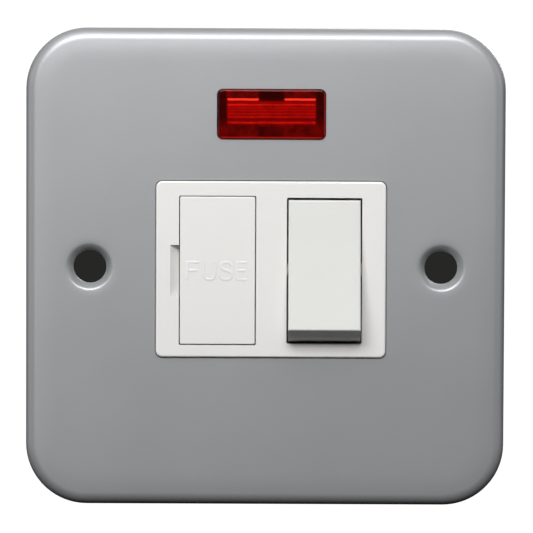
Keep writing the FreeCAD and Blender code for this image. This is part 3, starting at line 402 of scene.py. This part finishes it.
def outlineOf(place):
    # how far inside the plate's outline a point lies, and the way straight out from there
    x, z = place.x - plateMiddle.x, place.z - plateMiddle.z
    corner = pressing["corner"]
    overX, overZ = abs(x) - (plateHalf.x - corner), abs(z) - (plateHalf.z - corner)
    if overX > -tiny and overZ > -tiny and overX + overZ > tiny:
        reach = math.hypot(overX, overZ)
        return corner - reach, (math.copysign(overX / reach, x), math.copysign(overZ / reach, z))
    if plateHalf.x - abs(x) < plateHalf.z - abs(z):
        return plateHalf.x - abs(x), (math.copysign(1, x), 0)
    return plateHalf.z - abs(z), (0, math.copysign(1, z))


def layRing(shape, near, far):
    # a band of faces between two rings of as many points
    for k in range(len(near)):
        after = (k + 1) % len(near)
        shape.faces.new((near[k], near[after], far[after], far[k]))


def zipRings(shape, near, nearTurns, far, farTurns):
    # triangles between two rings of unlike number, each a step along whichever ring lags behind
    k = j = 0
    while k < len(near) or j < len(far):
        here, there = near[k % len(near)], far[j % len(far)]
        if j == len(far) or (k < len(near) and nearTurns[k + 1] <= farTurns[j + 1]):
            k += 1
            step = near[k % len(near)]
        else:
            j += 1
            step = far[j % len(far)]
        shape.faces.new((here, step, there))


def tightBend(shape):
    # the outer skin is pressed to a tighter bend all round, and starts a little behind the face
    bend, newBend, crown = pressing["bend"], pressing["newBend"], pressing["crown"]
    reach = bend + pressing["slack"]
    for vert in shape.verts:
        inset, way = outlineOf(vert.co)
        depth = vert.co.y - faceY
        offSkin = abs(math.hypot(bend - depth, bend - inset) - bend)
        if depth > reach or inset > reach or offSkin > pressing["bendSlack"]:
            continue
        out = inset * (1 - newBend / bend)
        newDepth = crown + depth * (newBend - crown) / bend
        vert.co = Vector((vert.co.x + way[0] * out, faceY + newDepth, vert.co.z + way[1] * out))


def layCrown(shape, edge):
    # rings from the bend inwards, each a little nearer the flat of the face; the last one is flush with it
    near = edge
    for step in pressing["crownSteps"]:
        fall = pressing["crown"] * (1 - step / pressing["crownSteps"][-1]) ** 2
        ring = []
        for vert in edge:
            way = outlineOf(vert.co)[1]
            ring.append(shape.verts.new((
                vert.co.x - way[0] * step * mm, faceY + fall, vert.co.z - way[1] * step * mm)))
        layRing(shape, near, ring)
        near = ring
    return near


def layDimple(shape, side):
    # rings from the face over a soft shoulder and down a steep wall to the hole
    def radiusOf(vert):
        return math.hypot(vert.co.x - side, vert.co.z)

    def turnOf(vert):
        return math.atan2(vert.co.z, vert.co.x - side) % math.tau

    hole, slack = pressing["holeEdge"], pressing["ringSlack"]
    atFront = [vert for vert in shape.verts if vert.co.y < faceY + pressing["frontDepth"]]
    pressed = {vert for vert in atFront if hole - slack < radiusOf(vert) < pressing["dimpleEdge"] + slack}
    old = [face for face in shape.faces if all(vert in pressed for vert in face.verts)]
    bmesh.ops.delete(shape, geom=old, context="FACES")
    atFront = [vert for vert in shape.verts if vert.co.y < faceY + pressing["frontDepth"]]
    inner = sorted((vert for vert in atFront if abs(radiusOf(vert) - hole) < slack), key=turnOf)
    for vert in inner:
        vert.co.y = faceY + pressing["wallDepth"]

    turns = [math.tau * k / pressing["turns"] for k in range(pressing["turns"] + 1)]
    rings = []
    for radius, depth in pressing["profile"]:
        rings.append([shape.verts.new((
            side + radius * mm * math.cos(turn), faceY + depth * mm, radius * mm * math.sin(turn)))
            for turn in turns[:-1]])
    for near, far in zip(rings, rings[1:]):
        layRing(shape, near, far)
    innerTurns = [turnOf(vert) for vert in inner]
    zipRings(shape, rings[-1], turns, inner, innerTurns + [innerTurns[0] + math.tau])


def softPressing(shape):
    # the plate's face is laid again, with a slight crown towards its bend and a soft shoulder at each dimple
    face = [f for f in shape.faces if all(abs(vert.co.y - faceY) < flatWithin for vert in f.verts)]
    bmesh.ops.delete(shape, geom=face, context="FACES")
    for side in (-1, 1):
        layDimple(shape, side * pressing["holeX"])
    atFace = {vert for vert in shape.verts if abs(vert.co.y - faceY) < flatWithin}
    loose = [edge for edge in shape.edges if edge.is_boundary and all(vert in atFace for vert in edge.verts)]
    reach = pressing["bend"] + 0.1 * mm
    bendEdge = {vert for edge in loose for vert in edge.verts if outlineOf(vert.co)[0] < reach}
    borders = [edge for edge in loose if not any(vert in bendEdge for vert in edge.verts)]
    tightBend(shape)
    around = sorted(bendEdge, key=lambda vert: math.atan2(vert.co.z - plateMiddle.z, vert.co.x - plateMiddle.x))
    rim = layCrown(shape, around)
    # a list, not a set, so that the fill comes out the same each run
    borders += [shape.edges.get((rim[k - 1], rim[k])) for k in range(len(rim))]
    bmesh.ops.triangle_fill(shape, use_beauty=False, use_dissolve=False, edges=borders, normal=(0, -1, 0))
    bmesh.ops.recalc_face_normals(shape, faces=shape.faces)
    print("plate's face laid again:", len(borders), "border edges")


notch = {"outerX": -16.4 * mm, "innerX": -14.75 * mm, "halfHeight": 4.6 * mm, "depth": 1.9 * mm,
         "corner": 1.1 * mm * 1.02}                # the corner's radius, and a little to catch all its points


def squareNotch(shape):
    # the two outer corners of the thumb-nail notch run out square
    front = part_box("switch_housing")[0].y
    found = [
        vert for vert in shape.verts
        if notch["outerX"] < vert.co.x < notch["innerX"] and abs(vert.co.z) < 2 * notch["halfHeight"]
        and vert.co.y < front + notch["depth"]]
    top, bottom = max(vert.co.z for vert in found), min(vert.co.z for vert in found)
    outer = min(vert.co.x for vert in found)
    moved = 0
    for vert in found:
        nearEnd = top if vert.co.z > (top + bottom) / 2 else bottom
        if abs(vert.co.z - nearEnd) < notch["corner"] and vert.co.x < outer + notch["corner"]:
            vert.co.z = nearEnd
            moved += 1
    print("notch corner points squared:", moved, "of", len(found))


rockerEnd = {"below": -10.6 * mm, "from": -4.0 * mm, "full": -6.4 * mm, "rise": 0.45 * mm, "lean": 11.5}


def leanEnd(shape):
    # the rocker's lower end leans in a little more towards its proud edge
    slope = math.tan(math.radians(rockerEnd["lean"]))
    for vert in shape.verts:
        share = (vert.co.y - rockerEnd["from"]) / (rockerEnd["full"] - rockerEnd["from"])
        share = min(max(share, 0.0), 1.0)
        if vert.co.z < rockerEnd["below"] and share > 0:
            vert.co.z += share * rockerEnd["rise"]
            vert.co.y += share * rockerEnd["rise"] * slope


shellPieces = {                                    # the node, the angle from which an edge is sharp, what is pressed
    "frontPlate": ("front_plate", 24.0, softPressing),
    "switchHousing": ("switch_housing", 32.0, squareNotch),
    "rockerKey": ("rocker", 32.0, leanEnd),
    "fuseDrawer": ("fuse_carrier", 32.0, None),
    "lensMoulding": ("neon_lens", 32.0, None)}
for pieceName, (nodeName, sharpAngle, soften) in shellPieces.items():
    mesh = smoothMesh(nodeName, sharpAngle, soften)
    piece = meshPiece(pieceName, mesh, slotOf[nodeName], bodyOf[nodeName], (nodeName,))
    if nodeName == "rocker":
        piece.data.materials[0] = whiteMoulding("rockerMoulding", rockerShadedWhite)   # a darker copy of the white moulding: painted shade, set against the stronger light on its tilted face
print("shell pieces:", len(shellPieces))


# the word on the fuse carrier, raised in the moulding
lettering = {"height": 3.0 * mm, "stroke": 0.39 * mm, "thick": 0.13 * mm, "proud": 0.040 * mm, "gap": 0.87 * mm,
             "x": -13.34 * mm, "z": -0.64 * mm}
letterPlans = {                                    # width and strokes in units of the cap height, from the lower left
    "F": (0.643, [[(0, 0), (0, 1), (0.643, 1)], [(0, 0.52), (0.54, 0.52)]]),
    "U": (0.643, [[(0, 1), (0, 0.30), (0.04, 0.13), (0.15, 0.03), (0.32, 0), (0.49, 0.03), (0.60, 0.13),
                   (0.643, 0.30), (0.643, 1)]]),
    "S": (0.67, [[(0.65, 0.80), (0.59, 0.92), (0.46, 0.99), (0.32, 1), (0.16, 0.97), (0.05, 0.87), (0.03, 0.74),
                  (0.10, 0.62), (0.24, 0.56), (0.46, 0.50), (0.60, 0.43), (0.67, 0.30), (0.64, 0.14), (0.52, 0.03),
                  (0.34, 0), (0.17, 0.02), (0.04, 0.11), (0.0, 0.24)]]),
    "E": (0.523, [[(0.523, 0), (0, 0), (0, 1), (0.523, 1)], [(0, 0.52), (0.46, 0.52)]]),
}


def raisedWord(word, plan):
    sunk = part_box("fuse_carrier")[0].y + plan["thick"] - plan["proud"]
    curve = bpy.data.curves.new("strokes", "CURVE")
    curve.dimensions = "3D"
    curve.bevel_depth = plan["stroke"]
    curve.bevel_resolution = 3
    curve.use_fill_caps = True
    left = 0.0
    for letter in word:
        width, strokes = letterPlans[letter]
        for stroke in strokes:
            line = curve.splines.new("POLY")
            line.points.add(len(stroke) - 1)
            for point, (x, z) in zip(line.points, stroke):
                point.co = (left + x * plan["height"], 0.0, z * plan["height"], 1.0)
        left += width * plan["height"] + plan["gap"]
    holder = bpy.data.objects.new("strokes", curve)
    mesh = bpy.data.meshes.new_from_object(holder)
    bpy.data.objects.remove(holder)
    flatten = Matrix.Diagonal((1, plan["thick"] / plan["stroke"], 1, 1))
    mesh.transform(Matrix.Translation((plan["x"], sunk, plan["z"] - plan["height"] / 2)) @ flatten)
    for face in mesh.polygons:
        face.use_smooth = True
    return mesh


meshPiece("raisedWord", raisedWord("FUSE", lettering), "white_moulding", "fuse_carrier")
print("word on the carrier done")


class NodeRecipe(Graph):
    # a geometry tree with named inputs, run once on a mesh of points
    def __init__(self, name, inputs):
        super().__init__(bpy.data.node_groups.new(name, "GeometryNodeTree"))
        interface = self.tree.interface
        interface.new_socket("Geometry", in_out="INPUT", socket_type="NodeSocketGeometry")
        for label, kind, default in inputs:
            interface.new_socket(label, in_out="INPUT", socket_type=kind).default_value = default
        interface.new_socket("Geometry", in_out="OUTPUT", socket_type="NodeSocketGeometry")
        start = self.node("NodeGroupInput")
        self.given = {socket.name: Wire(self, socket) for socket in start.outputs}

    def run(self, result, points, values, material):
        realized = self.wire("GeometryNodeRealizeInstances", None, {0: result})
        painted = self.wire("GeometryNodeSetMaterial", None, {0: realized, "Material": material})
        self.node("NodeGroupOutput", None, {0: painted})
        mesh = bpy.data.meshes.new("points")
        mesh.from_pydata(points, [], [])
        holder = addObject("points", mesh)
        modifier = holder.modifiers.new("recipe", "NODES")
        modifier.node_group = self.tree
        for item in self.tree.interface.items_tree:
            if item.in_out == "INPUT" and item.name in values:
                modifier[item.identifier] = values[item.name]
        finished = plainMesh(holder)
        for face in finished.polygons:
            face.use_smooth = True
        return finished


def coilMesh(name, points, values, material):
    # one helical bar, put at every point and turned about X
    recipe = NodeRecipe(name, [
        ("Radius", "NodeSocketFloat", 0.001), ("Length", "NodeSocketFloat", 0.005), ("Turns", "NodeSocketFloat", 5.0),
        ("Bar", "NodeSocketFloat", 0.0002), ("Bar sides", "NodeSocketInt", 3), ("Steps", "NodeSocketInt", 26),
        ("Tilt", "NodeSocketFloat", 0.0)])
    given = recipe.given
    spiral = recipe.wire("GeometryNodeCurveSpiral", None, {
        "Resolution": given["Steps"], "Rotations": given["Turns"], "Start Radius": given["Radius"],
        "End Radius": given["Radius"], "Height": given["Length"]})
    bar = recipe.wire("GeometryNodeCurvePrimitiveCircle", None, {
        "Resolution": given["Bar sides"], "Radius": given["Bar"]})
    coil = recipe.wire("GeometryNodeCurveToMesh", None, {"Curve": spiral, "Profile Curve": bar, "Fill Caps": True})
    turn = recipe.wire("ShaderNodeCombineXYZ", None, {"X": given["Tilt"]})
    placed = recipe.wire("GeometryNodeInstanceOnPoints", None, {
        "Points": given["Geometry"], "Instance": coil, "Rotation": turn})
    return recipe.run(placed, points, values, material)


def columnsOf(nodeName):
    # each separate turned piece in one node: its centre across the face, and its rear end
    shape = bmesh.new()
    shape.from_mesh(nodes[nodeName].data)
    bmesh.ops.remove_doubles(shape, verts=shape.verts, dist=mergeWithin)
    found, left = [], set(shape.verts)
    while left:
        stack, island = [left.pop()], []
        while stack:
            vert = stack.pop()
            island.append(vert.co.copy())
            for edge in vert.link_edges:
                other = edge.other_vert(vert)
                if other in left:
                    left.remove(other)
                    stack.append(other)
        xs, ys, zs = zip(*island)
        found.append(((min(xs) + max(xs)) / 2, (min(zs) + max(zs)) / 2, max(ys)))
    shape.free()
    return sorted(found)


studs = {"radius": 1.72 * mm, "pitch": 0.6 * mm, "bar": 0.16 * mm, "sides": 3, "steps": 26, "fromEnd": 0.2 * mm}
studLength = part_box("plate_studs")[1].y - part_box("stud_nuts")[1].y
threadMesh = coilMesh(
    "studThread", [(x, end - studs["fromEnd"], z) for x, z, end in columnsOf("plate_studs")],
    {"Radius": studs["radius"], "Length": studLength, "Turns": studLength / studs["pitch"], "Bar": studs["bar"],
     "Bar sides": studs["sides"], "Steps": studs["steps"], "Tilt": math.pi / 2},
    finishes["zinc_steel"])
meshPiece("studThreads", threadMesh, "zinc_steel", "unit")

springs = {"radius": 0.80 * mm, "wire": 0.17 * mm, "turns": 4.5, "sides": 10, "steps": 26, "lean": math.radians(11.5)}
lean, wireRadius = springs["lean"], springs["wire"]
for pole in ("live", "neutral"):
    low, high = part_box("plunger_spring_" + pole)
    reach = springs["radius"] + wireRadius
    length = ((high.y - low.y) - 2 * reach * math.sin(lean)) / math.cos(lean) - 2 * wireRadius
    along = Vector((0, math.cos(lean), -math.sin(lean)))   # out of the leaning rocker, towards its plunger
    start = (low + high) / 2 - along * length / 2
    springMesh = coilMesh(
        "springCoil", [tuple(start)],
        {"Radius": springs["radius"], "Length": length, "Turns": springs["turns"], "Bar": wireRadius,
         "Bar sides": springs["sides"], "Steps": springs["steps"], "Tilt": -(math.pi / 2 + lean)},
        finishes["zinc_steel"])
    meshPiece("springCoil" + pole.capitalize(), springMesh, "zinc_steel", "rocker", ("plunger_spring_" + pole,))
print("threads and springs done")


stage = {
    "floorZ": -0.13, "floorHalf": 0.45, "floorColor": (0.86, 0.86, 0.85), "floorShade": 0.97, "floorRoughness": 0.7,
    # the hole cards' colour is painted shade, the dark seen through the holes
    "cardY": 6.0 * mm, "cardX": (26.0 * mm, 39.3 * mm), "cardHalf": 12.5 * mm, "holeShadeColor": (0.0203, 0.0203, 0.0187)}


def paleFloor():
    f = Finish("paleFloor")
    color = stage["floorColor"]
    shade = tuple(c * stage["floorShade"] for c in color)
    return f.surface(Base_Color=f.blend(f.noise(6.0), color, shade), Roughness=stage["floorRoughness"])


def oneSided(name, color):
    # painted shade: a dark glowing sheet stands in for the shade seen through the holes, from the front only, so that
    # it never hides the back of the unit
    f = Finish(name)
    shadeGlow = f.wire("ShaderNodeEmission", None, {"Color": color})
    clear = f.wire("ShaderNodeBsdfTransparent")
    behind = f.wire("ShaderNodeNewGeometry", output="Backfacing")
    mixed = f.wire("ShaderNodeMixShader", None, {0: behind, 1: shadeGlow, 2: clear})
    f.join(mixed, f.output.inputs["Surface"])
    return f.material


def stageSheet(name, corners, material):
    mesh = bpy.data.meshes.new(name)
    mesh.from_pydata(corners, [], [(0, 1, 2, 3)])
    mesh.materials.append(material)
    sheet = addObject(name, mesh)
    return sheet


half, low = stage["floorHalf"], stage["floorZ"]
floor = stageSheet("floor", [(-half, -half, low), (half, -half, low), (half, half, low), (-half, half, low)],
                   paleFloor())
floor.visible_diffuse = floor.visible_glossy = False    # no bounce from it into the lower bend
# painted shade behind each hole
holeShadeMaterial = oneSided("holeCard", stage["holeShadeColor"])
cardY, tall = stage["cardY"], stage["cardHalf"]
for side, sideName in ((-1, "Left"), (1, "Right")):
    near, far = sorted(side * x for x in stage["cardX"])
    card = stageSheet("holeCard" + sideName, [
        (near, cardY, -tall), (far, cardY, -tall), (far, cardY, tall), (near, cardY, tall)], holeShadeMaterial)
    card.visible_diffuse = card.visible_glossy = card.visible_shadow = False


lighting = {
    # brightness of the surroundings, low to high, a little cool, and dimmer in the lower half towards the back
    "heights": ((0.02, 0.01), (0.46, 0.010), (0.56, 0.03), (0.85, 0.26)), "cool": 1.01,
    "behind": 0.10, "behindFrom": 0.7, "lowerHalf": (-0.1, 0.25),
    "seen": 1.05,                                  # the white that the camera sees
    "lamps": {
        "keyLight": {"azimuth": -8.0, "elevation": 34.5, "distance": 0.42, "size": (0.34, 0.13), "watts": 1.80},
        "topLight": {"azimuth": -12.0, "elevation": 58.0, "distance": 0.50, "size": (0.50, 0.20), "watts": 0.62},
        "panelLight": {"azimuth": -26.0, "elevation": 1.0, "distance": 0.48, "size": (0.18, 0.20), "watts": 0.16},
        "sideLight": {"azimuth": 72.0, "elevation": 12.0, "distance": 0.50, "size": (0.34, 0.30), "watts": 0.25},
        "leftLight": {"azimuth": -82.0, "elevation": 8.0, "distance": 0.50, "size": (0.30, 0.30), "watts": 0.22},
        "backLight": {"azimuth": 155.0, "elevation": 28.0, "distance": 0.60, "size": (0.40, 0.30), "watts": 2.4},
    },
}


def wayTo(azimuth, elevation):
    around, rise = math.radians(azimuth), math.radians(elevation)
    return Vector((math.sin(around) * math.cos(rise), -math.cos(around) * math.cos(rise), math.sin(rise)))


def buildWorld():
    world = bpy.data.worlds.new("studio")
    bpy.context.scene.world = world
    world.use_nodes = True
    w = Graph(world.node_tree)
    _, y, z = w.axes(w.wire("ShaderNodeTexCoord", output="Generated"))
    height = w.wire("ShaderNodeMapRange", None, {"From Min": -1.0, "Value": z})
    stops = [(position, (grey, grey, grey * lighting["cool"])) for position, grey in lighting["heights"]]
    ramp = w.wire("ShaderNodeValToRGB", {"stops": stops}, {0: height})
    behind = w.wire("ShaderNodeMapRange", None, {
        "From Max": lighting["behindFrom"], "To Min": 1.0, "To Max": lighting["behind"], "Value": y})
    bottom, top = lighting["lowerHalf"]
    above = w.wire("ShaderNodeMapRange", None, {"From Min": bottom, "From Max": top, "Value": z})
    strength = w.wire("ShaderNodeMix", None, {0: above, 2: behind, 3: 1.0})
    around = w.wire("ShaderNodeBackground", None, {"Color": ramp, "Strength": strength})
    seen = w.wire("ShaderNodeBackground", None, {"Color": (1, 1, 1), "Strength": lighting["seen"]})
    cameraRay = w.wire("ShaderNodeLightPath", output="Is Camera Ray")
    mixed = w.wire("ShaderNodeMixShader", None, {0: cameraRay, 1: around, 2: seen})
    w.node("ShaderNodeOutputWorld", None, {"Surface": mixed})


def softLight(name, plan):
    data = bpy.data.lights.new(name, "AREA")
    data.shape = "RECTANGLE"
    data.size, data.size_y = plan["size"]
    data.energy = plan["watts"]
    light = addObject(name, data)
    towards = wayTo(plan["azimuth"], plan["elevation"])
    light.location = towards * plan["distance"]
    light.rotation_euler = (-towards).to_track_quat("-Z", "Y").to_euler()


buildWorld()
for name, plan in lighting["lamps"].items():
    softLight(name, plan)


view = {"distance": 0.55, "elevation": 2.5, "azimuth": 0.0, "roll": 0.24, "frameWidth": 91.33 * mm,
        "missX": -1.14, "missY": 0.85, "pixels": 533, "sensor": 36.0, "clip": (0.01, 10.0)}


def photoCamera():
    data = bpy.data.cameras.new("camera")
    camera = addObject("camera", data)
    data.sensor_width = view["sensor"]
    data.lens = view["sensor"] * view["distance"] / view["frameWidth"]
    data.clip_start, data.clip_end = view["clip"]
    back = wayTo(view["azimuth"], view["elevation"])
    camera.location = Vector((0, faceY, 0)) + back * view["distance"]
    aim = (-back).to_track_quat("-Z", "Y").to_matrix().to_4x4()
    aim = aim @ Matrix.Rotation(math.radians(view["roll"]), 4, "Z")
    camera.matrix_world = Matrix.Translation(camera.location) @ aim
    data.shift_x = -view["missX"] / view["pixels"]
    data.shift_y = view["missY"] / view["pixels"]
    bpy.context.scene.camera = camera


photoCamera()
bpy.context.scene.view_settings.view_transform = "Standard"
bpy.context.scene.view_settings.look = "None"
print("stage, lights and camera done")
